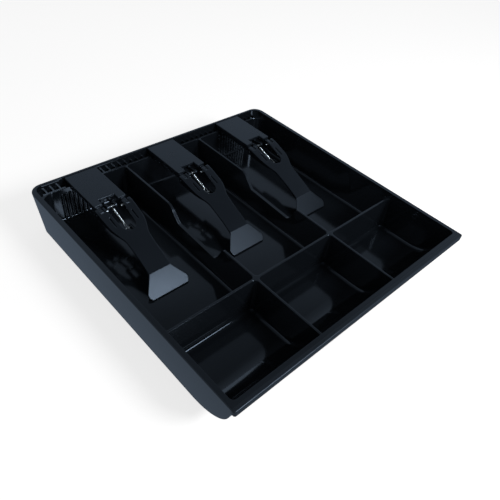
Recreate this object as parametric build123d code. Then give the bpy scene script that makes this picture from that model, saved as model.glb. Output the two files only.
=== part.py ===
from build123d import *
import math
import os

# Till insert tray: one moulded tray with three note bays behind three coin cups, and
# three sprung, hinged note clips that hook over the rear wall. Millimetres.
# Origin: centre of the rim in plan, on the resting plane. +X right, +Y rear, +Z up.
# In names, HALF is a half width about x = 0, and FRONT_Y and REAR_Y are places along Y.

# ---- tray, outside ----
RIM_WIDTH = 245.0
RIM_DEPTH = 244.0
HEIGHT = 40.0
FOOT_HALF = 118.5            # at the resting plane
FOOT_REAR_Y = 119.5
REAR_CORNER_R = 10.0         # in plan, at the rim
FRONT_CORNER_R = 1.6
RIM_ROUND = 0.9
LIP_HEIGHT = 5.0             # front lip band
SCOOP_R = 38.6               # curved front under the lip
SCOOP_Y = -80.3              # centre of that curve

# ---- tray, inside ----
INNER_HALF = 118.6           # between the side walls, at the rim
INNER_FRONT_Y = -116.0
INNER_REAR_Y = 119.6
WELL_FRONT_CORNER_R = 3.0
WALL_TOP = 34.5              # top of dividers, cross wall and inner rear wall
CUT_TOP = WALL_TOP + 0.5     # compartment cutters overlap the well by this much
EASE = 0.55                  # rounding of the wall tops
FLOOR = 4.5                  # floor of bays and cups
DRAFT = math.tan(math.radians(2.0))
DIVIDER_X = 40.0             # divider centre lines
WALL_T = 1.4                 # divider and cross wall thickness, at the rim plane
CROSS_WALL_Y = -52.0
BAY_REAR_Y = 113.4           # front face of the inner rear wall, at the rim plane
BAY_CORNER_R = 3.0
BAY_OUTER_CORNER_R = 11.0    # the two outermost rear corners
BAY_FLOOR_ROUND = 2.8
CUP_R = 32.0                 # inner front curve of the coin cups
CUP_ROUND = 3.2
CUP_CUT_FRONT_Y = -125.0     # cup cutter before its front is trimmed to the curve
CUP_CUT_REAR_Y = -40.0       # trimming profile, clear of the cup on these two sides
CUP_CUT_TOP = 45.0
SHARP = 0.05                 # corner radius standing in for a square corner

# x ranges of the three compartments at the rim plane, left to right
DIVIDER_IN = DIVIDER_X - WALL_T / 2
DIVIDER_OUT = DIVIDER_X + WALL_T / 2
COMPARTMENTS = (
    (-INNER_HALF, -DIVIDER_OUT),
    (-DIVIDER_IN, DIVIDER_IN),
    (DIVIDER_OUT, INNER_HALF),
)

# ---- comb channel behind the bays, and upright ribs in the bays ----
CLIP_X = 79.0                # clip centre lines: -CLIP_X, 0, +CLIP_X
COMB_PITCH = CLIP_X / 14
COMB_T = 1.2
COMB_TOP = 33.9
COMB_REACH = 112.0           # ribs lie within this distance of x = 0
CHANNEL_FRONT_Y = 115.1
CHANNEL_FLOOR = 26.0
FLUTE_PITCH = 3.4            # half round ribs on the outer bays' rear walls
FLUTE_COUNT = 11             # per outer bay
FLUTE_X = 65.8               # the flute nearest the middle
FLUTE_R = 1.5
FLUTE_TOP = 29.0
FLUTE_SINK = 0.35            # flute axis behind the wall face

# Recesses in the underside, one under each compartment
RECESS_X_RANGES = ((-115.5, -42.0), (-38.0, 38.0), (42.0, 115.5))
RECESS_Y_RANGES = ((-77.5, -54.0), (-50.0, 114.5))
RECESS_TOP = 2.0
RECESS_FLARE = 0.1           # growth per side at the cutter's lower end
RECESS_CORNER_R = 2.0

# ---- clip, each one modelled at x = 0 ----
PLATE_HALF = 13.9
PLATE_REAR_Y = 119.4
PLATE_FRONT_Y = 73.4
PLATE_TOP = 39.6
PLATE_T = 2.2
NOTCH_HALF = 7.0             # notch in the plate's front edge
NOTCH_REAR_Y = 79.6
HINGE_Y, HINGE_Z = 68.2, 35.6
HINGE_PIN_R = 0.90
HINGE_PIN_OUTER_X = 15.0
RUNNING_CLEARANCE = 0.04     # radial
REAR_PIN_Y, REAR_PIN_Z = 72.6, 34.6      # spring pin in the base
FRONT_PIN_Y, FRONT_PIN_Z = 51.0, 27.6    # spring pin in the arm
SPRING_PIN_R = 0.80
REAR_PIN_HALF = 4.3
FRONT_PIN_HALF = 4.05
LUG_X = (9.7, 12.5)          # base hinge lug, across X
LUG_CLEARANCE = 0.3
HOOK_HALF = 12.0
ARM_T = 1.5
FOOT_T = 1.25                # arm foot, at its tip
SKIRT_T = 1.9
OPENING_HALF = 6.6
OPENING_FRONT_Y = 43.4
SLIT_FRONT_Y, SLIT_REAR_Y = 49.6, 59.2   # the two slits beside the opening
SLIT_X = 9.6
SLIT_HALF = 0.55
WIRE_D = 0.45                # spring wire
COIL_R = 1.25                # outer radius of the coil
COIL_START, COIL_END = 3.3, 18.3         # distance along the spring from the rear pin

# Arm side view, upper surface from rear to front: (y, z)
ARM_TOP = [
    (70.3, 38.75), (66.0, 38.2), (61.5, 37.1), (56.0, 35.6), (48.0, 33.5), (42.0, 31.4),
    (36.0, 28.95), (31.0, 26.9), (25.0, 24.5), (17.0, 21.2), (8.6, 17.2),
]
FOOT_TIP = (-5.6, 5.75)
# Arm and foot in plan, from rear to front: (y, half width)
ARM_PLAN = [
    (70.3, 15.3), (62.0, 15.2), (55.0, 14.8), (49.0, 14.2), (45.0, 13.1), (41.0, 11.6),
    (37.5, 10.2), (33.5, 9.65), (25.0, 9.4), (14.0, 9.45), (8.6, 9.6),
]
FOOT_PLAN = [(-0.9, 17.4), (-3.9, 17.3), (-5.6, 15.7)]


# ---------------------------------------------------------------------------
# Shared helpers
# ---------------------------------------------------------------------------
def rounded_rect(x0, x1, y0, y1, z, radii):
    """Rounded rectangle face at z; radii run (x0, y0), (x1, y0), (x1, y1), (x0, y1)."""
    r0, r1, r2, r3 = radii
    corners = (                      # centre x, centre y, radius, start angle
        (x1 - r1, y0 + r1, r1, -90),
        (x1 - r2, y1 - r2, r2, 0),
        (x0 + r3, y1 - r3, r3, 90),
        (x0 + r0, y0 + r0, r0, 180),
    )
    edges = []
    here = (x0 + r0, y0, z)
    for x, y, radius, start_angle in corners:
        angles = [math.radians(start_angle + turn) for turn in (0, 45, 90)]
        start, middle, end = [
            (x + radius * math.cos(a), y + radius * math.sin(a), z) for a in angles
        ]
        edges.append(Line(here, start))
        edges.append(ThreePointArc(start, middle, end))
        here = end
    return Face(Wire(edges))


def prism(lower, upper):
    """Straight sided solid between two faces."""
    loft = Solid.make_loft([lower.outer_wire(), upper.outer_wire()], ruled=True)
    return Solid(loft.wrapped)


def box(x0, x1, y0, y1, z0, z1):
    return Solid.make_box(x1 - x0, y1 - y0, z1 - z0, Plane((x0, y0, z0)))


def yz_face(*steps):
    """Closed face in the YZ plane. A step is a (y, z) point reached by a line, or a
    (middle, end) pair of points for an arc."""
    edges = []
    here = first = (0, *steps[0])
    for step in steps[1:]:
        if isinstance(step[0], tuple):
            middle, end = [(0, *point) for point in step]
            edges.append(ThreePointArc(here, middle, end))
        else:
            end = (0, *step)
            edges.append(Line(here, end))
        here = end
    edges.append(Line(here, first))
    return Face(Wire(edges))


def along_x(face, x0, x1):
    return Solid.extrude(Pos(x0, 0, 0) * face, Vector(x1 - x0, 0, 0))


def cylinder_x(y, z, radius, x0, x1):
    return Solid.make_cylinder(radius, x1 - x0, Plane(origin=(x0, y, z), z_dir=(1, 0, 0)))


def span(side, near, far):
    """x range from near to far on one side of x = 0; side is -1 or 1."""
    return sorted((side * near, side * far))


def largest(shape):
    return max(shape.solids(), key=lambda solid: solid.volume)


def draft_inset(z):
    """How far a drafted wall has moved in from its rim plane position at height z."""
    return (HEIGHT - z) * DRAFT


def lies_at(edge, z):
    bounds = edge.bounding_box()
    return abs(bounds.min.Z - z) < 0.02 and abs(bounds.max.Z - z) < 0.02


def edges_at(shape, z):
    return [edge for edge in shape.edges() if lies_at(edge, z)]


def soften(solid, edges, radius):
    """Round the edges, with a smaller radius or not at all where the full one fails."""
    for factor in (1.0, 0.7, 0.45):
        # Guards against the kernel refusing a fillet of this radius.
        try:
            rounded = solid.fillet(radius * factor, edges)
            if rounded.is_valid and abs(rounded.volume - solid.volume) < 0.2 * solid.volume:
                return rounded
        except Exception:
            pass
    return solid


def comb_positions(reach):
    """Centre lines of the comb ribs, spread evenly about x = 0 and within reach of it."""
    half_count = int(reach / COMB_PITCH + 0.5)
    return [(i + 0.5) * COMB_PITCH for i in range(-half_count, half_count)]


# ---------------------------------------------------------------------------
# Tray
# ---------------------------------------------------------------------------
def make_shell():
    """Solid tray block with the curved front under its lip."""
    front_y = -RIM_DEPTH / 2
    rim_half = RIM_WIDTH / 2
    rear_r = REAR_CORNER_R
    foot_rear_r = REAR_CORNER_R - 2
    rim = rounded_rect(-rim_half, rim_half, front_y, RIM_DEPTH / 2, HEIGHT,
                       (FRONT_CORNER_R, FRONT_CORNER_R, rear_r, rear_r))
    foot = rounded_rect(-FOOT_HALF, FOOT_HALF, front_y, FOOT_REAR_Y, 0,
                        (FRONT_CORNER_R, FRONT_CORNER_R, foot_rear_r, foot_rear_r))
    body = prism(foot, rim)

    lip_z = HEIGHT - LIP_HEIGHT
    lip_angle = math.pi + math.asin((SCOOP_R - lip_z) / SCOOP_R)
    middle_angle = (lip_angle + 1.5 * math.pi) / 2
    lip_y = SCOOP_Y + SCOOP_R * math.cos(lip_angle)
    middle = (SCOOP_Y + SCOOP_R * math.cos(middle_angle),
              SCOOP_R + SCOOP_R * math.sin(middle_angle))
    clear_y = front_y - 8
    scoop = yz_face((clear_y, lip_z), (lip_y, lip_z), (middle, (SCOOP_Y, 0.0)),
                    (SCOOP_Y, -4), (clear_y, -4))
    body = largest(body - along_x(scoop, -RIM_WIDTH, RIM_WIDTH))
    return soften(body, edges_at(body, HEIGHT), RIM_ROUND)


def well_cutter():
    """Open space above the dividers."""
    top = HEIGHT + 1
    inset = (top - WALL_TOP) * DRAFT
    front_r, rear_r = WELL_FRONT_CORNER_R, REAR_CORNER_R - 3
    radii = (front_r, front_r, rear_r, rear_r)
    upper = rounded_rect(-INNER_HALF, INNER_HALF, INNER_FRONT_Y, INNER_REAR_Y, top, radii)
    lower = rounded_rect(-INNER_HALF + inset, INNER_HALF - inset,
                         INNER_FRONT_Y, INNER_REAR_Y, WALL_TOP, radii)
    return prism(lower, upper)


def wall_top_cutters(x0, x1, y0, y1, eased_sides, radii):
    """Rings that round the wall tops around a compartment given at the rim plane.
    eased_sides says which of -x, +x, -y, +y have a wall top to round."""
    stations = (                     # depth below the wall top, growth per side
        (EASE, 0.0),
        (0.55 * EASE, 0.12 * EASE),
        (0.2 * EASE, 0.42 * EASE),
        (0.0, EASE),
        (-0.3, EASE + 0.02),
    )
    rings = []
    for drop, grow in stations:
        z = WALL_TOP - drop
        inset = draft_inset(z)
        left, right, front, rear = [grow if eased else -0.02 for eased in eased_sides]
        rings.append(rounded_rect(x0 + inset - left, x1 - inset + right,
                                  y0 + inset - front, y1 - inset + rear, z,
                                  [r + (grow if r > 1 else 0) for r in radii]))
    return [prism(lower, upper) for lower, upper in zip(rings[:-1], rings[1:])]


def note_bay_cutters():
    cutters = []
    y0, y1 = CROSS_WALL_Y + WALL_T / 2, BAY_REAR_Y
    for i, (x0, x1) in enumerate(COMPARTMENTS):
        left_r = BAY_OUTER_CORNER_R if i == 0 else BAY_CORNER_R
        right_r = BAY_OUTER_CORNER_R if i == 2 else BAY_CORNER_R
        radii = (BAY_CORNER_R, BAY_CORNER_R, right_r, left_r)
        lower, upper = [
            rounded_rect(x0 + draft_inset(z), x1 - draft_inset(z),
                         y0 + draft_inset(z), y1 - draft_inset(z), z, radii)
            for z in (FLOOR, CUT_TOP)
        ]
        bay = prism(lower, upper)
        cutters.append(soften(bay, edges_at(bay, FLOOR), BAY_FLOOR_ROUND))
        cutters += wall_top_cutters(x0, x1, y0, y1, (i != 0, i != 2, True, True), radii)
    return cutters


def cup_section(x0, x1, y1, z):
    """Cup outline at height z, running straight out past the front."""
    inset = draft_inset(z)
    outline = Polyline((x0 + inset, CUP_CUT_FRONT_Y, z), (x1 - inset, CUP_CUT_FRONT_Y, z),
                       (x1 - inset, y1 - inset, z), (x0 + inset, y1 - inset, z), close=True)
    return Wire(outline.edges())


def cup_round_edges(cup, y1):
    """All edges below the top, except the tangent seams across the front curve."""
    edges = []
    for edge in cup.edges():
        bounds = edge.bounding_box()
        across = bounds.max.X - bounds.min.X > 10
        away_from_rear = abs((bounds.max.Y + bounds.min.Y) / 2 - y1) > 4
        if not lies_at(edge, CUT_TOP) and not (across and away_from_rear):
            edges.append(edge)
    return edges


def coin_cup_cutters():
    cutters = []
    y1 = CROSS_WALL_Y - WALL_T / 2
    curve_y, curve_z = INNER_FRONT_Y + CUP_R, FLOOR + CUP_R
    diagonal = CUP_R * math.sqrt(0.5)
    profile = yz_face(
        (INNER_FRONT_Y, CUP_CUT_TOP), (INNER_FRONT_Y, curve_z),
        ((curve_y - diagonal, curve_z - diagonal), (curve_y, FLOOR)),
        (CUP_CUT_REAR_Y, FLOOR), (CUP_CUT_REAR_Y, CUP_CUT_TOP))
    for i, (x0, x1) in enumerate(COMPARTMENTS):
        sections = [cup_section(x0, x1, y1, z) for z in (FLOOR, CUT_TOP)]
        cup = Solid.make_loft(sections, ruled=True)
        cup = largest(cup & along_x(profile, -130, 130))
        cutters.append(soften(cup, cup_round_edges(cup, y1), CUP_ROUND))
        cutters += wall_top_cutters(x0, x1, INNER_FRONT_Y - 0.2, y1,
                                    (i != 0, i != 2, False, True),
                                    (SHARP, SHARP, CUP_ROUND, CUP_ROUND))
    return cutters


def channel_cutters():
    """Channel between inner rear wall and rear rim, then its eased front edge."""
    upper = rounded_rect(-113.5, 113.5, CHANNEL_FRONT_Y, INNER_REAR_Y, CUT_TOP, (1.2,) * 4)
    lower = rounded_rect(-113.2, 113.2, CHANNEL_FRONT_Y + 0.15, INNER_REAR_Y - 0.25,
                         CHANNEL_FLOOR, (1.0,) * 4)
    cutters = [prism(lower, upper)]
    stations = ((0.45, 0.0), (0.15, 0.18), (-0.3, 0.48))   # depth below wall top, growth
    rings = [
        rounded_rect(-113.4, 113.4, CHANNEL_FRONT_Y - grow, INNER_REAR_Y - 0.02,
                     WALL_TOP - drop, (1.2,) * 4)
        for drop, grow in stations
    ]
    cutters += [prism(lower, upper) for lower, upper in zip(rings[:-1], rings[1:])]
    return cutters


def divider_dip_cutter():
    """Dip in both dividers between the note bays."""
    over = WALL_TOP + 4
    profile = yz_face(
        (49.0, over), (51.5, WALL_TOP), ((46.4, 32.2), (43.2, 28.6)), (36.6, 22.2),
        (-7.0, 20.1), ((-10.3, 21.3), (-11.9, 24.3)), (-15.4, 32.2),
        ((-16.6, 33.8), (-18.4, WALL_TOP)), (-18.4, over))
    return along_x(profile, -DIVIDER_X - 5, DIVIDER_X + 5)


def underside_cutters():
    cutters = []
    radii = (RECESS_CORNER_R,) * 4
    flare = RECESS_FLARE
    for x0, x1 in RECESS_X_RANGES:
        for y0, y1 in RECESS_Y_RANGES:
            upper = rounded_rect(x0, x1, y0, y1, RECESS_TOP, radii)
            lower = rounded_rect(x0 - flare, x1 + flare, y0 - flare, y1 + flare, -1.0, radii)
            cutters.append(prism(lower, upper))
    return cutters


def comb_ribs():
    """Ribs across the channel, sunk 0.3 into its floor and both sides."""
    return [
        box(x - COMB_T / 2, x + COMB_T / 2, CHANNEL_FRONT_Y - 0.3, INNER_REAR_Y + 0.3,
            CHANNEL_FLOOR - 0.3, COMB_TOP)
        for x in comb_positions(COMB_REACH)
    ]


def flutes():
    """Half round, ball topped ribs up the drafted rear walls of the two outer bays."""
    foot_z = FLOOR - 0.4
    foot_y = BAY_REAR_Y - draft_inset(foot_z) + FLUTE_SINK
    top_y = BAY_REAR_Y - draft_inset(FLUTE_TOP) + FLUTE_SINK
    axis = Vector(0, top_y - foot_y, FLUTE_TOP - foot_z)
    width = (FLUTE_COUNT - 1) * FLUTE_PITCH
    ribs = []
    for first_x in (-FLUTE_X - width, FLUTE_X):
        for i in range(FLUTE_COUNT):
            x = first_x + i * FLUTE_PITCH
            foot_plane = Plane(origin=(x, foot_y, foot_z), z_dir=axis)
            ribs.append(Solid.make_cylinder(FLUTE_R, axis.length, foot_plane))
            ribs.append(Solid.make_sphere(FLUTE_R, Plane((x, top_y, FLUTE_TOP))))
    return ribs


def make_tray():
    tray = make_shell()
    cutters = [
        well_cutter(),
        *note_bay_cutters(),
        *coin_cup_cutters(),
        *channel_cutters(),
        divider_dip_cutter(),
        *underside_cutters(),
    ]
    for cutter in cutters:
        tray = largest(tray - cutter)
    return largest(tray.fuse(*comb_ribs(), *flutes()))


# ---------------------------------------------------------------------------
# Clip base
# ---------------------------------------------------------------------------
def make_plate():
    under = PLATE_TOP - PLATE_T
    plate = box(-PLATE_HALF, PLATE_HALF, PLATE_FRONT_Y, PLATE_REAR_Y, under, PLATE_TOP)
    plate = largest(plate - box(-NOTCH_HALF, NOTCH_HALF, PLATE_FRONT_Y - 1, NOTCH_REAR_Y,
                                under - 1, PLATE_TOP + 1))
    outer_corners = [
        edge for edge in plate.edges()
        if abs(edge.bounding_box().size.Z - PLATE_T) < 0.01
        and abs(edge.center().X) > NOTCH_HALF + 1
    ]
    plate = soften(plate, outer_corners, 0.8)
    return soften(plate, edges_at(plate, PLATE_TOP), 0.45)


def make_base():
    root_z = PLATE_TOP - PLATE_T + 0.2       # parts below overlap the plate
    cheek = yz_face(
        (112.0, root_z), (112.0, 33.2), (80.0, 33.0), (HINGE_Y + 1.0, HINGE_Z - 2.28),
        (HINGE_Y, HINGE_Z), (HINGE_Y + 1.4, HINGE_Z + 1.9), (PLATE_FRONT_Y + 0.3, root_z))
    pin_lug = yz_face(
        (90.0, root_z), (87.0, 32.6), (REAR_PIN_Y + 0.6, REAR_PIN_Z - 1.75),
        (REAR_PIN_Y, REAR_PIN_Z), (REAR_PIN_Y + 0.7, REAR_PIN_Z + 1.5), (80.0, 35.0),
        (83.0, root_z))
    parts = []
    for side in (-1, 1):
        # cheek under the plate, running forward into the hinge lug
        x0, x1 = span(side, *LUG_X)
        hinge_eye = cylinder_x(HINGE_Y, HINGE_Z, 2.45, x0, x1)
        parts.append(largest(along_x(cheek, x0, x1).fuse(hinge_eye)))
        # small lug near the middle for the rear spring pin
        x0, x1 = span(side, 2.55, 4.35)
        pin_eye = cylinder_x(REAR_PIN_Y, REAR_PIN_Z, 1.85, x0, x1)
        parts.append(largest(along_x(pin_lug, x0, x1).fuse(pin_eye)))
    # hook block: tongue in the channel, saddle over the inner rear wall, front hook
    for y0, y1, z0 in (
        (CHANNEL_FRONT_Y + 0.35, PLATE_REAR_Y - 0.3, 27.0),
        (112.75, CHANNEL_FRONT_Y + 0.4, WALL_TOP + 0.12),
        (110.2, 112.8, 30.5),
    ):
        parts.append(box(-HOOK_HALF, HOOK_HALF, y0, y1, z0, root_z))
    base = largest(make_plate().fuse(*parts))

    # slots in the tongue for the comb ribs
    slot_half = COMB_T / 2 + 0.25
    for x in comb_positions(13.0):
        base = largest(base - box(x - slot_half, x + slot_half, CHANNEL_FRONT_Y - 0.5,
                                  PLATE_REAR_Y + 1, 20.0, COMB_TOP + 0.12))
    # the hinge pins and the rear spring pin are pressed in
    base = largest(base - cylinder_x(HINGE_Y, HINGE_Z, HINGE_PIN_R, -20, 20))
    return largest(base - cylinder_x(REAR_PIN_Y, REAR_PIN_Z, SPRING_PIN_R, -5, 5))


# ---------------------------------------------------------------------------
# Clip arm
# ---------------------------------------------------------------------------
def offset_below(points, thickness):
    """Move (y, z) points, listed rear to front, square to their line and downwards."""
    moved = []
    for i, (y, z) in enumerate(points):
        before = points[max(i - 1, 0)]
        after = points[min(i + 1, len(points) - 1)]
        dy, dz = after[0] - before[0], after[1] - before[1]
        length = math.hypot(dy, dz)
        moved.append((y - dz / length * thickness, z + dy / length * thickness))
    return moved


def arm_top_height(y):
    """Upper surface height at y, by straight pieces between the profile points."""
    stations = [FOOT_TIP, *reversed(ARM_TOP)]
    for (y0, z0), (y1, z1) in zip(stations[:-1], stations[1:]):
        if y <= y1 + 1e-6:
            return z0 + (z1 - z0) * (y - y0) / (y1 - y0)
    return stations[-1][1]


def arm_side_face():
    heel_y, heel_z = ARM_TOP[-1]
    under_tip = offset_below([ARM_TOP[-1], FOOT_TIP], FOOT_T)[-1]
    knee = (heel_y + 0.55, heel_z - ARM_T - 0.18)
    top = [(0, y, z) for y, z in ARM_TOP]
    under = [(0, y, z) for y, z in offset_below(ARM_TOP, ARM_T)[:-1] + [knee]]
    return Face(Wire([
        Spline(*top),
        Line(top[-1], (0, *FOOT_TIP)),
        Line((0, *FOOT_TIP), (0, *under_tip)),
        Line((0, *under_tip), under[-1]),
        Spline(*reversed(under)),
        Line(under[0], top[0]),
    ]))


def arm_plan_column(inset):
    """Arm and foot outline in plan, drawn in by inset per side, as a tall column."""
    def mirrored(point):
        return (-point[0], point[1], point[2])

    neck = [(half - inset, y, 0) for y, half in ARM_PLAN]
    root, shoulder, toe = [(half - inset, y, 0) for y, half in FOOT_PLAN]
    bulge = (shoulder[0] + 0.25, shoulder[1] + 0.8, 0)
    face = Face(Wire([
        Spline(*neck),
        Line(neck[-1], root),
        ThreePointArc(root, bulge, shoulder),
        Line(shoulder, toe),
        Line(toe, mirrored(toe)),
        Line(mirrored(toe), mirrored(shoulder)),
        ThreePointArc(mirrored(shoulder), mirrored(bulge), mirrored(root)),
        Line(mirrored(root), mirrored(neck[-1])),
        Spline(*[mirrored(point) for point in reversed(neck)]),
        Line(mirrored(neck[0]), neck[0]),
    ]))
    return Solid.extrude(face, Vector(0, 0, 60))


def arm_blank():
    """Web with side skirts, hinge flanges and spring pin ribs, before any openings."""
    outline = arm_plan_column(0.0)
    web = largest(along_x(arm_side_face(), -20, 20) & outline)
    # side skirts at the hinge end, fading out along the neck
    skirt_face = yz_face(
        (70.3, 38.4), *[(y, z - 0.4) for y, z in ARM_TOP[1:6]], (42.0, 29.6), (48.0, 30.6),
        (56.0, 31.4), (64.0, 32.2), (69.2, 32.6), (70.3, 33.6))
    skirts = (along_x(skirt_face, -20, 20) & outline) - arm_plan_column(SKIRT_T)
    # hinge flanges beside the opening
    flange = yz_face((70.3, 38.3), (70.3, 34.6), (68.8, 33.2), (64.0, 33.2), (58.0, 34.3),
                     (57.0, 35.4), (61.5, 36.7), (66.0, 37.8))
    # ribs under the web holding the front spring pin
    rib = yz_face(
        (49.8, 33.0), (FRONT_PIN_Y + 1.9, FRONT_PIN_Z + 1.2),
        (FRONT_PIN_Y + 1.6, FRONT_PIN_Z - 1.0), (FRONT_PIN_Y, FRONT_PIN_Z - 1.9),
        (44.0, 25.7), (30.0, 24.6), (25.0, 23.6), (36.0, 27.9), (43.0, 30.6))
    additions = list(skirts.solids())
    for side in (-1, 1):
        additions.append(along_x(flange, *span(side, OPENING_HALF + 0.5, 9.35)))
        additions.append(along_x(rib, *span(side, 2.45, 4.1)))
    return largest(web.fuse(*additions))


def arm_opening_cutter():
    """Long U shape, round at the front and open to the rear."""
    end_r = OPENING_HALF - 0.6
    end_y = OPENING_FRONT_Y + end_r
    wide, rear = OPENING_HALF + 0.9, OPENING_HALF + 1.2
    face = Face(Wire([
        Line((-rear, 75, 0), (-wide, 66.0, 0)),
        Line((-wide, 66.0, 0), (-end_r, end_y, 0)),
        ThreePointArc((-end_r, end_y, 0), (0, OPENING_FRONT_Y, 0), (end_r, end_y, 0)),
        Line((end_r, end_y, 0), (wide, 66.0, 0)),
        Line((wide, 66.0, 0), (rear, 75, 0)),
        Line((rear, 75, 0), (-rear, 75, 0)),
    ]))
    return Solid.extrude(Pos(0, 0, 29.3) * face, Vector(0, 0, 16))


def on_arm_top(edge):
    points = [edge @ t for t in (0.0, 0.5, 1.0)]
    return all(abs(arm_top_height(point.Y) - point.Z) < 0.07 for point in points)


def make_arm():
    arm = largest(arm_blank() - arm_opening_cutter())
    for side in (-1, 1):
        x = side * SLIT_X
        arm = largest(arm - box(x - SLIT_HALF, x + SLIT_HALF, SLIT_FRONT_Y, SLIT_REAR_Y,
                                30.0, 45.0))
        # clearance for the base hinge lug, open to the rear
        x0, x1 = span(side, LUG_X[0] - LUG_CLEARANCE, LUG_X[1] + LUG_CLEARANCE)
        arm = largest(arm - box(x0, x1, 65.2, 75.0, 30.0, 45.0))
    # the arm turns on the hinge pins and grips the front spring pin
    hinge_bore_r = HINGE_PIN_R + RUNNING_CLEARANCE
    arm = largest(arm - cylinder_x(HINGE_Y, HINGE_Z, hinge_bore_r, -20, 20))
    arm = largest(arm - cylinder_x(FRONT_PIN_Y, FRONT_PIN_Z, SPRING_PIN_R, -5, 5))

    # softened upper edges of the opening and the slits
    opening_edges = [
        edge for edge in arm.edges()
        if on_arm_top(edge) and abs(edge.center().X) < 7.6
        and 43 < edge.center().Y < 66.1 and edge.length > 3
    ]
    arm = soften(arm, opening_edges, 0.35)
    slit_edges = [
        edge for edge in arm.edges()
        if on_arm_top(edge) and 8.9 < abs(edge.center().X) < 10.3
        and SLIT_FRONT_Y - 0.1 < edge.center().Y < SLIT_REAR_Y + 0.1
    ]
    return soften(arm, slit_edges, 0.25)


# ---------------------------------------------------------------------------
# Pins and spring
# ---------------------------------------------------------------------------
def make_pin(y, z, radius, x0, x1, end_round):
    pin = cylinder_x(y, z, radius, x0, x1)
    ends = [edge for edge in pin.edges() if edge.geom_type == GeomType.CIRCLE]
    return soften(pin, ends, end_round)


def make_hinge_pin(side):
    x0, x1 = span(side, OPENING_HALF - 0.6, HINGE_PIN_OUTER_X)
    return make_pin(HINGE_Y, HINGE_Z, HINGE_PIN_R, x0, x1, 0.2)


def make_spring_pin(y, z, half_length):
    return make_pin(y, z, SPRING_PIN_R, -half_length, half_length, 0.15)


def make_coil():
    """Close wound coil as a ridged tube round the local X axis."""
    turns = int((COIL_END - COIL_START) / (WIRE_D * 1.02))
    pitch = (COIL_END - COIL_START) / turns
    valley_r = COIL_R - WIRE_D / 2
    bore_r = COIL_R - WIRE_D + 0.05
    edges = []
    for i in range(turns):
        x0 = COIL_START + i * pitch
        x1 = x0 + pitch
        edges.append(ThreePointArc((x0, valley_r, 0), ((x0 + x1) / 2, COIL_R, 0),
                                   (x1, valley_r, 0)))
    edges.append(Line((COIL_END, valley_r, 0), (COIL_END, bore_r, 0)))
    edges.append(Line((COIL_END, bore_r, 0), (COIL_START, bore_r, 0)))
    edges.append(Line((COIL_START, bore_r, 0), (COIL_START, valley_r, 0)))
    return Solid.revolve(Face(Wire(edges)), 360, Axis((0, 0, 0), (1, 0, 0)))


def make_spring():
    """Extension spring from the rear pin to the front pin, built along local X."""
    length = math.hypot(FRONT_PIN_Y - REAR_PIN_Y, FRONT_PIN_Z - REAR_PIN_Z)
    wire_r = WIRE_D / 2
    disc_r = COIL_R - wire_r * 0.6
    disc_t = 0.6                     # closing disc inside each end of the coil

    # rear eye: ring round the rear pin, in the local XY plane
    ring_r = SPRING_PIN_R + 0.06 + wire_r
    ring = Solid.make_torus(ring_r, wire_r, Plane(origin=(0, 0, 0), z_dir=(0, 0, 1)))
    rear_neck = cylinder_x(0, 0, wire_r, ring_r - 0.1, COIL_START + 0.5)
    rear_disc = cylinder_x(0, 0, disc_r, COIL_START, COIL_START + disc_t)

    # front eye: long oval, so that the spring can shorten and lengthen on the front pin
    eye_x0, eye_x1 = length - 2.9, length + 0.85
    eye_r = SPRING_PIN_R + 0.62 + wire_r
    path = Wire([
        Line((eye_x0, eye_r, 0), (eye_x1, eye_r, 0)),
        ThreePointArc((eye_x1, eye_r, 0), (eye_x1 + eye_r, 0, 0), (eye_x1, -eye_r, 0)),
        Line((eye_x1, -eye_r, 0), (eye_x0, -eye_r, 0)),
        ThreePointArc((eye_x0, -eye_r, 0), (eye_x0 - eye_r, 0, 0), (eye_x0, eye_r, 0)),
    ])
    section_plane = Plane(origin=(eye_x0, eye_r, 0), z_dir=(1, 0, 0))
    eye = Solid.sweep(Face(Wire.make_circle(wire_r, section_plane)), path)
    disc_x = COIL_END - disc_t
    front_neck = cylinder_x(0, 0, wire_r, disc_x, eye_x0 - eye_r + 0.15)
    front_disc = cylinder_x(0, 0, disc_r, disc_x, COIL_END)

    spring = largest(make_coil().fuse(ring, rear_neck, rear_disc, eye, front_neck, front_disc))
    # local X runs from rear pin to front pin, local Z along world X
    direction = Vector(0, FRONT_PIN_Y - REAR_PIN_Y, FRONT_PIN_Z - REAR_PIN_Z)
    placed = Plane(origin=(0, REAR_PIN_Y, REAR_PIN_Z), x_dir=direction, z_dir=(1, 0, 0))
    return placed.location * spring


# ---------------------------------------------------------------------------
# Assembly and export
# ---------------------------------------------------------------------------
clip_pieces = {
    "clip_base": make_base(),
    "clip_arm": make_arm(),
    "hinge_pin_a": make_hinge_pin(-1),
    "hinge_pin_b": make_hinge_pin(1),
    "clip_spring": make_spring(),
    "spring_pin_rear": make_spring_pin(REAR_PIN_Y, REAR_PIN_Z, REAR_PIN_HALF),
    "spring_pin_front": make_spring_pin(FRONT_PIN_Y, FRONT_PIN_Z, FRONT_PIN_HALF),
}
pieces = {"tray": make_tray()}
for place, clip_x in (("left", -CLIP_X), ("centre", 0.0), ("right", CLIP_X)):
    for piece_name, piece in clip_pieces.items():
        pieces[piece_name + "_" + place] = Pos(clip_x, 0, 0) * piece

os.makedirs("parts", exist_ok=True)
for name, shape in pieces.items():
    shape.label = name
    export_step(shape, "parts/%s.step" % name)
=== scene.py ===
# A gloss black cash tray with three satin black note clips, each closed by a wound wire spring
# between two steel pins. +Z is up, the front faces -Y, and the clips stand in a row along X.
# Scene values are in metres; the spring dimensions are in millimetres.
import bpy, bmesh, math
from mathutils import Vector, Matrix


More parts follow.
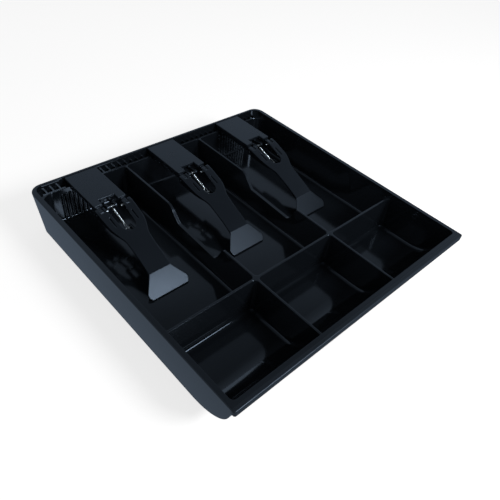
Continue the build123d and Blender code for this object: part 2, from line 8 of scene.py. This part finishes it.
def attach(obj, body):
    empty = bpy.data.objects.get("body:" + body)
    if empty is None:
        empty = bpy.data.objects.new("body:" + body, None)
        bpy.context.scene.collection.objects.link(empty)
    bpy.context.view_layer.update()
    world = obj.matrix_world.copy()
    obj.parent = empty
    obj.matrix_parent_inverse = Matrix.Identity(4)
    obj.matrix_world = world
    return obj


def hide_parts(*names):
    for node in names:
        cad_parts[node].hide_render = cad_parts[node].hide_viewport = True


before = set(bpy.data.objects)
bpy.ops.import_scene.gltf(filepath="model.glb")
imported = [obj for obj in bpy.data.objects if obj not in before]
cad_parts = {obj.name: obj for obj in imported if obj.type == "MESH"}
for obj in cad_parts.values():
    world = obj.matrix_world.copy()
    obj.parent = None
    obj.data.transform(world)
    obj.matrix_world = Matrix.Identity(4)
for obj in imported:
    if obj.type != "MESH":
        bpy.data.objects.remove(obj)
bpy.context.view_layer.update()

MM = 0.001
COOL = (0.77, 1.0, 1.32)           # tint of the studio light
WHITE = (1.0, 1.0, 1.0, 1.0)


def rgb(red, green, blue):
    return (red, green, blue, 1.0)


def add_object(name, data):
    obj = bpy.data.objects.new(name, data)
    bpy.context.scene.collection.objects.link(obj)
    return obj


def add_mesh(name, bm):
    mesh = bpy.data.meshes.new(name)
    bm.to_mesh(mesh)
    bm.free()
    return add_object(name, mesh)


# ---------------------------------------------------------------------------
# node graphs
# ---------------------------------------------------------------------------
class Graph:
    """Builds the nodes of a material or world."""

    def __init__(self, owner, output_kind="ShaderNodeOutputMaterial"):
        self.owner = owner
        owner.use_nodes = True
        self.tree = owner.node_tree
        self.tree.nodes.clear()
        self.output = self.tree.nodes.new(output_kind)

    def put(self, node, key, value):
        """Link a socket to an input, or set the input to a plain value."""
        if isinstance(value, bpy.types.NodeSocket):
            self.tree.links.new(value, node.inputs[key])
        else:
            node.inputs[key].default_value = value

    def node(self, kind, inputs=None, **props):
        node = self.tree.nodes.new(kind)
        for key, value in props.items():
            setattr(node, key, value)
        for key, value in (inputs or {}).items():
            self.put(node, key, value)
        return node

    def shader(self, kind, inputs):
        return self.node(kind, inputs).outputs[0]

    def finish(self, surface):
        self.put(self.output, "Surface", surface)
        return self.owner

    def coords(self, kind="Object"):
        return self.node("ShaderNodeTexCoord").outputs[kind]

    def is_camera_ray(self):
        return self.node("ShaderNodeLightPath").outputs["Is Camera Ray"]

    def split(self, vec):
        """The x, y and z of a vector."""
        return self.node("ShaderNodeSeparateXYZ", {0: vec}).outputs

    def math(self, operation, a, b=0.0, c=None):
        inputs = {0: a, 1: b}
        if c is not None:
            inputs[2] = c
        return self.node("ShaderNodeMath", inputs, operation=operation).outputs[0]

    def noise(self, vec, scale, detail, rough, stretch=None):
        if stretch:
            inputs = {"Vector": vec, "Scale": stretch}
            vec = self.node("ShaderNodeMapping", inputs).outputs["Vector"]
        inputs = {"Vector": vec, "Scale": scale, "Detail": detail, "Roughness": rough}
        return self.node("ShaderNodeTexNoise", inputs).outputs["Fac"]

    def ramp(self, fac, stops):
        """Colour ramp through (position, (red, green, blue)) stops."""
        node = self.node("ShaderNodeValToRGB", {"Fac": fac})
        elements = node.color_ramp.elements
        while len(elements) < len(stops):
            elements.new(0.5)
        for element, (position, color) in zip(elements, stops):
            element.position = position
            element.color = rgb(*color)
        return node.outputs["Color"]

    def span(self, value, over, to):
        """Map the range `over` onto the range `to`, clamped at both ends."""
        inputs = {"Value": value, "From Min": over[0], "From Max": over[1],
                  "To Min": to[0], "To Max": to[1]}
        return self.node("ShaderNodeMapRange", inputs, clamp=True).outputs["Result"]

    def mix(self, fac, a, b):
        # the colour inputs of a Mix node are 6 and 7, its colour output is 2
        return self.node("ShaderNodeMix", {0: fac, 6: a, 7: b}, data_type="RGBA").outputs[2]

    def rounded(self, radius, samples):
        """Normal with its edges rounded off."""
        return self.node("ShaderNodeBevel", {"Radius": radius}, samples=samples).outputs["Normal"]

    def edge(self, radius):
        """0 on flat areas, 1 on edges, from a rounded normal against the true one."""
        soft = self.rounded(radius, samples=6)
        true = self.node("ShaderNodeNewGeometry").outputs["Normal"]
        dot = self.node("ShaderNodeVectorMath", {0: soft, 1: true}, operation="DOT_PRODUCT")
        return self.span(dot.outputs["Value"], over=(0.995, 0.82), to=(0.0, 1.0))

    def bump(self, height, strength, distance, normal=None):
        inputs = {"Strength": strength, "Distance": distance, "Height": height}
        if normal is not None:
            inputs["Normal"] = normal
        return self.node("ShaderNodeBump", inputs).outputs[0]


# ---------------------------------------------------------------------------
# materials
# ---------------------------------------------------------------------------
def cup_back_mask(graph, x, y, z):
    """1 on the rounding along the back of each cup floor, 0 elsewhere."""
    behind = graph.span(y, over=(-0.0612, -0.0600), to=(0.0, 1.0))
    before = graph.span(y, over=(-0.0526, -0.0522), to=(1.0, 0.0))
    below = graph.span(z, over=(0.0090, 0.0120), to=(1.0, 0.0))
    within = graph.span(graph.math("ABSOLUTE", x), over=(0.1176, 0.1180), to=(1.0, 0.0))
    return graph.math("MULTIPLY", graph.math("MULTIPLY", behind, before),
                      graph.math("MULTIPLY", below, within))


def gloss_black(name):
    """Tray: polished black moulding, faint flow waves, dust and hairline scratches."""
    graph = Graph(bpy.data.materials.new(name))
    vec = graph.coords()
    cloud = graph.noise(vec, scale=14.0, detail=3.0, rough=0.55)
    fine = graph.noise(vec, scale=420.0, detail=3.0, rough=0.6)
    color = graph.ramp(cloud, [(0.3, (0.0066, 0.0068, 0.0070)), (0.7, (0.0088, 0.0090, 0.0093))])
    color = graph.mix(graph.edge(radius=0.0006), color, rgb(0.0170, 0.0172, 0.0178))

    # hairline scratches in two directions
    hair_x = graph.noise(vec, scale=60.0, detail=2.0, rough=0.5, stretch=(1.0, 22.0, 1.0))
    hair_y = graph.noise(vec, scale=52.0, detail=2.0, rough=0.5, stretch=(18.0, 1.2, 1.0))
    hair_x = graph.span(hair_x, over=(0.66, 0.72), to=(0.0, 1.0))
    hair_y = graph.span(hair_y, over=(0.67, 0.73), to=(0.0, 1.0))
    hair = graph.math("MAXIMUM", hair_x, hair_y)
    dust = graph.span(fine, over=(0.66, 0.78), to=(0.0, 1.0))
    rough = graph.span(cloud, over=(0.3, 0.7), to=(0.065, 0.10))
    rough = graph.math("MULTIPLY_ADD", hair, b=0.04, c=rough)
    # fillets are less well polished than the flats
    rough = graph.math("MULTIPLY_ADD", graph.edge(radius=0.0018), b=0.13, c=rough)
    x, y, z = graph.split(vec)
    # the outside of the front lip is worn dull, and the floors are slightly scuffed
    lip = graph.span(y, over=(-0.1195, -0.1180), to=(0.30, 0.0))
    floor = graph.span(z, over=(0.0048, 0.0056), to=(0.03, 0.0))
    rough = graph.math("ADD", rough, floor)
    rough = graph.math("ADD", rough, lip)
    rough = graph.math("MULTIPLY_ADD", dust, b=0.10, c=rough)

    wave = graph.noise(vec, scale=38.0, detail=2.0, rough=0.45)
    normal = graph.bump(wave, strength=0.10, distance=0.0006)
    normal = graph.bump(fine, strength=0.04, distance=0.0001, normal=normal)
    # coins are scraped out over the back of the cups, so it shines less
    specular = graph.math("MULTIPLY_ADD", cup_back_mask(graph, x, y, z), b=-0.36, c=0.5)
    return graph.finish(graph.shader("ShaderNodeBsdfPrincipled", {
        "Base Color": color, "Roughness": rough, "IOR": 1.5, "Normal": normal,
        "Specular IOR Level": specular}))


def satin_black(name, tone, rough, seed, round_radius, foot=None):
    """Clip plastic: smooth moulding, slightly rubbed along its edges.

    foot = (y, roughness): in front of y the surface is the spark-grained pressing pad.
    """
    graph = Graph(bpy.data.materials.new(name))
    object_vec = graph.coords()
    # the seed shifts the textures so that the parts differ
    shift = (seed, seed * 0.7, seed * 0.3)
    mapping = graph.node("ShaderNodeMapping", {"Vector": object_vec, "Location": shift})
    vec = mapping.outputs["Vector"]
    cloud = graph.noise(vec, scale=30.0, detail=3.0, rough=0.55)
    grain = graph.noise(vec, scale=1500.0, detail=2.0, rough=0.55)
    dark = tuple(c * 0.82 for c in tone)
    light = tuple(c * 1.18 for c in tone)
    color = graph.ramp(cloud, [(0.3, dark), (0.7, light)])
    edge = graph.edge(radius=0.0005)
    color = graph.mix(edge, color, rgb(*(c * 2.0 for c in tone)))

    roughness = graph.span(cloud, over=(0.3, 0.7), to=(rough - 0.02, rough + 0.03))
    grain_strength = 0.12
    if foot:
        foot_y, foot_rough = foot
        y = graph.split(object_vec)["Y"]
        mask = graph.span(y, over=(foot_y - 0.0002, foot_y + 0.0002), to=(1.0, 0.0))
        roughness = graph.math("MULTIPLY_ADD", mask, b=foot_rough - rough, c=roughness)
        grain_strength = graph.math("MULTIPLY_ADD", mask, b=0.30, c=0.06)
    roughness = graph.math("MULTIPLY_ADD", edge, b=-0.03, c=roughness)
    roughness = graph.math("MULTIPLY_ADD", grain, b=0.05, c=roughness)

    normal = graph.rounded(round_radius, samples=8)
    normal = graph.bump(grain, strength=grain_strength, distance=0.00006, normal=normal)
    wave = graph.noise(vec, scale=45.0, detail=2.0, rough=0.45)
    normal = graph.bump(wave, strength=0.08, distance=0.0004, normal=normal)
    return graph.finish(graph.shader("ShaderNodeBsdfPrincipled", {
        "Base Color": color, "Roughness": roughness, "IOR": 1.5, "Normal": normal}))


def steel(name, tone, rough, grain_scale, stretch):
    """Wire and pins: drawing lines and small tarnish spots."""
    graph = Graph(bpy.data.materials.new(name))
    vec = graph.coords()
    lines = graph.noise(vec, scale=grain_scale, detail=3.0, rough=0.6, stretch=stretch)
    spots = graph.noise(vec, scale=900.0, detail=3.0, rough=0.6)
    color = graph.ramp(lines, [(0.25, tuple(c * 0.80 for c in tone)), (0.75, tone)])
    tarnish = graph.span(spots, over=(0.62, 0.75), to=(0.0, 0.35))
    color = graph.mix(tarnish, color, rgb(0.34, 0.30, 0.26))
    roughness = graph.span(lines, over=(0.2, 0.8), to=(rough - 0.05, rough + 0.07))
    roughness = graph.math("MULTIPLY_ADD", tarnish, b=0.3, c=roughness)
    normal = graph.bump(lines, strength=0.2, distance=0.00003)
    return graph.finish(graph.shader("ShaderNodeBsdfPrincipled", {
        "Base Color": color, "Metallic": 1.0, "Roughness": roughness, "Normal": normal}))


PIN_GRAIN = dict(grain_scale=500.0, stretch=(0.06, 1.0, 1.0))     # lines run along X

TRAY_BLACK = gloss_black("tray_gloss_black")
BASE_BLACK = satin_black("clip_base_satin", tone=(0.0088, 0.0094, 0.0102), rough=0.26,
                         seed=3.1, round_radius=0.0004)
ARM_BLACK = satin_black("clip_arm_satin", tone=(0.0060, 0.0064, 0.0070), rough=0.15,
                        seed=7.7, round_radius=0.0009, foot=(0.0086, 0.325))
PIN_STEEL = steel("pin_drawn_steel", tone=(0.93, 0.86, 0.76), rough=0.26, **PIN_GRAIN)
PIN_BLACKENED = steel("pin_blackened_steel", tone=(0.13, 0.12, 0.108), rough=0.36, **PIN_GRAIN)
WIRE_STEEL = steel("spring_bright_wire", tone=(1.0, 0.93, 0.82), rough=0.20,
                   grain_scale=900.0, stretch=(1.0, 1.0, 1.0))

MATERIAL_BY_PREFIX = {
    "clip_base": BASE_BLACK,
    "clip_arm": ARM_BLACK,
    "clip_spring": WIRE_STEEL,
    "spring_pin": PIN_BLACKENED,
}


def material_for(name):
    if name == "tray":
        return TRAY_BLACK
    for prefix, material in MATERIAL_BY_PREFIX.items():
        if name.startswith(prefix):
            return material
    return PIN_STEEL


for name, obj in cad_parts.items():
    obj.data.materials.clear()
    obj.data.materials.append(material_for(name))


# ---------------------------------------------------------------------------
# springs: one continuous wound wire with an eye at each end (millimetres)
# ---------------------------------------------------------------------------
CLIP_PITCH = 79.0
REAR_PIN = Vector((0.0, 72.6, 34.6))
FRONT_PIN = Vector((0.0, 51.0, 27.6))
PIN_RADIUS = 0.80
WIRE_RADIUS = 0.225
WIRE_SIDES = 10
END_DOME = (0.6, 0.95)             # places of the end rings, in wire radii past the end

COIL_RADIUS = 1.25 - WIRE_RADIUS   # to the wire's centre line, as are the eye radii
COIL_START, COIL_END = 3.25, 18.35     # from the rear pin
COIL_TURNS = 30
STEPS_PER_TURN = 20

REAR_EYE_RADIUS = PIN_RADIUS + 0.06 + WIRE_RADIUS
FRONT_EYE_RADIUS = PIN_RADIUS + 0.62 + WIRE_RADIUS
FRONT_EYE_REAR, FRONT_EYE_FRONT = -2.9, 0.85      # arc centres, from the front pin
EYE_SIDE_STEPS = 16


def wire(name, points):
    """A round wire along a list of points, with rotation-minimising rings and domed ends."""
    bm = bmesh.new()
    radius = WIRE_RADIUS * MM
    last = len(points) - 1
    tangents = [(points[min(i + 1, last)] - points[max(i - 1, 0)]).normalized()
                for i in range(len(points))]
    side = Vector((1, 0, 0))
    side = (side - tangents[0] * side.dot(tangents[0])).normalized()
    rings = []
    for i, (point, tangent) in enumerate(zip(points, tangents)):
        if i:
            side = tangents[i - 1].rotation_difference(tangent) @ side
            side = (side - tangent * side.dot(tangent)).normalized()
        across = tangent.cross(side)
        offsets = [0.0]
        if i == 0:
            offsets = [-f for f in reversed(END_DOME)] + offsets
        if i == last:
            offsets += END_DOME
        for offset in offsets:
            centre = point + tangent * radius * offset
            ring_radius = radius * math.sqrt(1 - offset * offset)
            angles = [2 * math.pi * k / WIRE_SIDES for k in range(WIRE_SIDES)]
            rings.append([
                bm.verts.new(centre + (side * math.cos(a) + across * math.sin(a)) * ring_radius)
                for a in angles])
    for near, far in zip(rings[:-1], rings[1:]):
        for k in range(WIRE_SIDES):
            after = (k + 1) % WIRE_SIDES
            bm.faces.new((near[k], near[after], far[after], far[k]))
    bm.faces.new(list(reversed(rings[0])))
    bm.faces.new(rings[-1])
    bmesh.ops.recalc_face_normals(bm, faces=bm.faces)
    obj = add_mesh(name, bm)
    for polygon in obj.data.polygons:
        polygon.use_smooth = True
    return obj


def smooth_join(start, end, start_tangent, end_tangent, steps, pull):
    """Points between start and end on a cubic; pull sets how far it follows the tangents."""
    reach = (end - start).length * pull * 3
    points = []
    for i in range(1, steps):
        t = i / steps
        at_start, along_start = 2 * t**3 - 3 * t**2 + 1, t**3 - 2 * t**2 + t
        at_end, along_end = -2 * t**3 + 3 * t**2, t**3 - t**2
        points.append(start * at_start + start_tangent * (along_start * reach)
                      + end * at_end + end_tangent * (along_end * reach))
    return points


def arc(centre_x, radius, start, end, steps, first=0):
    """Points of an arc in the local xy plane, from start to end in degrees."""
    angles = [math.radians(start + (end - start) * i / steps) for i in range(first, steps + 1)]
    return [Vector((centre_x + radius * math.cos(a), radius * math.sin(a), 0.0)) for a in angles]


def eye_side(start, end, y, first=0):
    """Points of a straight side of the front eye, from x = start to x = end."""
    return [Vector((start + (end - start) * i / EYE_SIDE_STEPS, y, 0.0))
            for i in range(first, EYE_SIDE_STEPS + 1)]


def coil():
    steps = COIL_TURNS * STEPS_PER_TURN
    points = []
    for i in range(steps + 1):
        angle = 2 * math.pi * i / STEPS_PER_TURN
        points.append(Vector((COIL_START + (COIL_END - COIL_START) * i / steps,
                              -COIL_RADIUS * math.cos(angle), COIL_RADIUS * math.sin(angle))))
    return points


def front_eye():
    """Long oval, so that the pin can slide in it. It stays open at the coil end."""
    length = (FRONT_PIN - REAR_PIN).length
    rear, front = length + FRONT_EYE_REAR, length + FRONT_EYE_FRONT
    radius = FRONT_EYE_RADIUS
    return (arc(rear, radius, start=200, end=270, steps=12)
            + eye_side(rear, front, -radius)
            + arc(front, radius, start=-90, end=90, steps=24, first=1)
            + eye_side(front, rear, radius, first=1)
            + arc(rear, radius, start=90, end=152, steps=13, first=1))


def spring_points():
    """Centre line: x along the spring from the rear pin, y across it, z along world X."""
    points = arc(0.0, REAR_EYE_RADIUS, start=28, end=354, steps=30)
    winding = coil()
    # neck from the rear eye to the first coil
    points += smooth_join(points[-1], winding[0], Vector((0.90, 0.42, 0.0)),
                          Vector((0.12, 0.0, 1.0)), steps=12, pull=0.42)
    points += winding
    eye = front_eye()
    points += smooth_join(points[-1], eye[0], (points[-1] - points[-2]).normalized(),
                          (eye[1] - eye[0]).normalized(), steps=10, pull=0.35)
    return points + eye


def make_springs():
    along = (FRONT_PIN - REAR_PIN).normalized()
    sideways = Vector((1.0, 0.0, 0.0))
    across = sideways.cross(along)
    local = spring_points()
    for side, place in (("left", -1), ("centre", 0), ("right", 1)):
        origin = Vector((place * CLIP_PITCH, REAR_PIN.y, REAR_PIN.z))
        points = [(origin + along * p.x + across * p.y + sideways * p.z) * MM for p in local]
        obj = wire("spring_wound_" + side, points)
        obj.data.materials.append(WIRE_STEEL)
        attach(obj, "spring_" + side)
        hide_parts("clip_spring_" + side)


make_springs()


# ---------------------------------------------------------------------------
# stage, light, camera
# ---------------------------------------------------------------------------
FLOOR_SIZE = 6.0
FLOOR_CELLS = 24

# what the object sees round it: (z of the direction, grey level), darker towards overhead
TENT = [(0.50, 0.36), (0.60, 0.31), (0.65, 0.28), (0.71, 0.25),
        (0.74, 0.213), (0.79, 0.153), (0.83, 0.145)]


def floor_material():
    """Pale and glowing to the camera, a dim cool light to every other ray."""
    graph = Graph(bpy.data.materials.new("studio_floor_pale"))
    is_camera = graph.is_camera_ray()
    soft = graph.noise(graph.coords(), scale=3.0, detail=2.0, rough=0.5)
    tone = graph.ramp(soft, [(0.3, (0.80, 0.62, 0.47)), (0.7, (0.82, 0.63, 0.48))])
    diffuse = graph.shader("ShaderNodeBsdfDiffuse", {"Color": tone})
    glow = graph.shader("ShaderNodeEmission", {"Color": WHITE, "Strength": 0.72})
    pale = graph.shader("ShaderNodeAddShader", {0: diffuse, 1: glow})
    dim = graph.shader("ShaderNodeEmission", {"Color": rgb(*COOL), "Strength": 0.20})
    return graph.finish(graph.shader("ShaderNodeMixShader", {0: is_camera, 1: dim, 2: pale}))


def make_floor():
    bm = bmesh.new()
    places = [(i / FLOOR_CELLS - 0.5) * FLOOR_SIZE for i in range(FLOOR_CELLS + 1)]
    grid = [[bm.verts.new((x, y, 0.0)) for x in places] for y in places]
    for j in range(FLOOR_CELLS):
        for i in range(FLOOR_CELLS):
            bm.faces.new((grid[j][i], grid[j][i + 1], grid[j + 1][i + 1], grid[j + 1][i]))
    obj = add_mesh("studio_floor", bm)
    obj.data.materials.append(floor_material())


def make_world():
    """White to the camera, a cool tent to every other ray."""
    world = bpy.data.worlds.new("studio")
    bpy.context.scene.world = world
    graph = Graph(world, "ShaderNodeOutputWorld")
    is_camera = graph.is_camera_ray()
    white = graph.shader("ShaderNodeBackground", {"Color": WHITE, "Strength": 1.0})
    height = graph.split(graph.coords("Generated"))["Z"]
    tent = graph.ramp(height, [(z, tuple(c * grey for c in COOL)) for z, grey in TENT])
    ambient = graph.shader("ShaderNodeBackground", {"Color": tent, "Strength": 1.0})
    graph.finish(graph.shader("ShaderNodeMixShader", {0: is_camera, 1: ambient, 2: white}))


def make_key_light():
    location, target = Vector((0.23, -0.755, 0.60)), Vector((-0.03, 0.02, 0.0))
    light = bpy.data.lights.new("key_soft", "AREA")
    light.shape = "DISK"
    light.size = 0.34
    light.energy = 5.2
    light.color = COOL
    obj = add_object("key_soft", light)
    obj.location = location
    obj.rotation_euler = (target - location).to_track_quat("-Z", "Y").to_euler()
    obj.visible_camera = False


def make_camera():
    data = bpy.data.cameras.new("camera")
    data.sensor_width = 36.0
    data.lens = 36.47232
    data.clip_start = 0.01
    data.clip_end = 50.0
    camera = add_object("camera", data)
    right = Vector((0.73205, -0.67332, 0.10363)).normalized()
    forward = Vector((0.54317, 0.48507, -0.68533)).normalized()
    # square the three axes to each other
    up = right.cross(forward).normalized()
    right = forward.cross(up).normalized()
    turn = Matrix((right, up, -forward)).transposed().to_4x4()
    camera.matrix_world = Matrix.Translation(Vector((-0.2285, -0.2109, 0.2920))) @ turn
    bpy.context.scene.camera = camera


make_floor()
make_world()
make_key_light()
make_camera()

view = bpy.context.scene.view_settings
view.view_transform = "Standard"
view.look = "None"
view.exposure = 0.0
view.gamma = 1.0
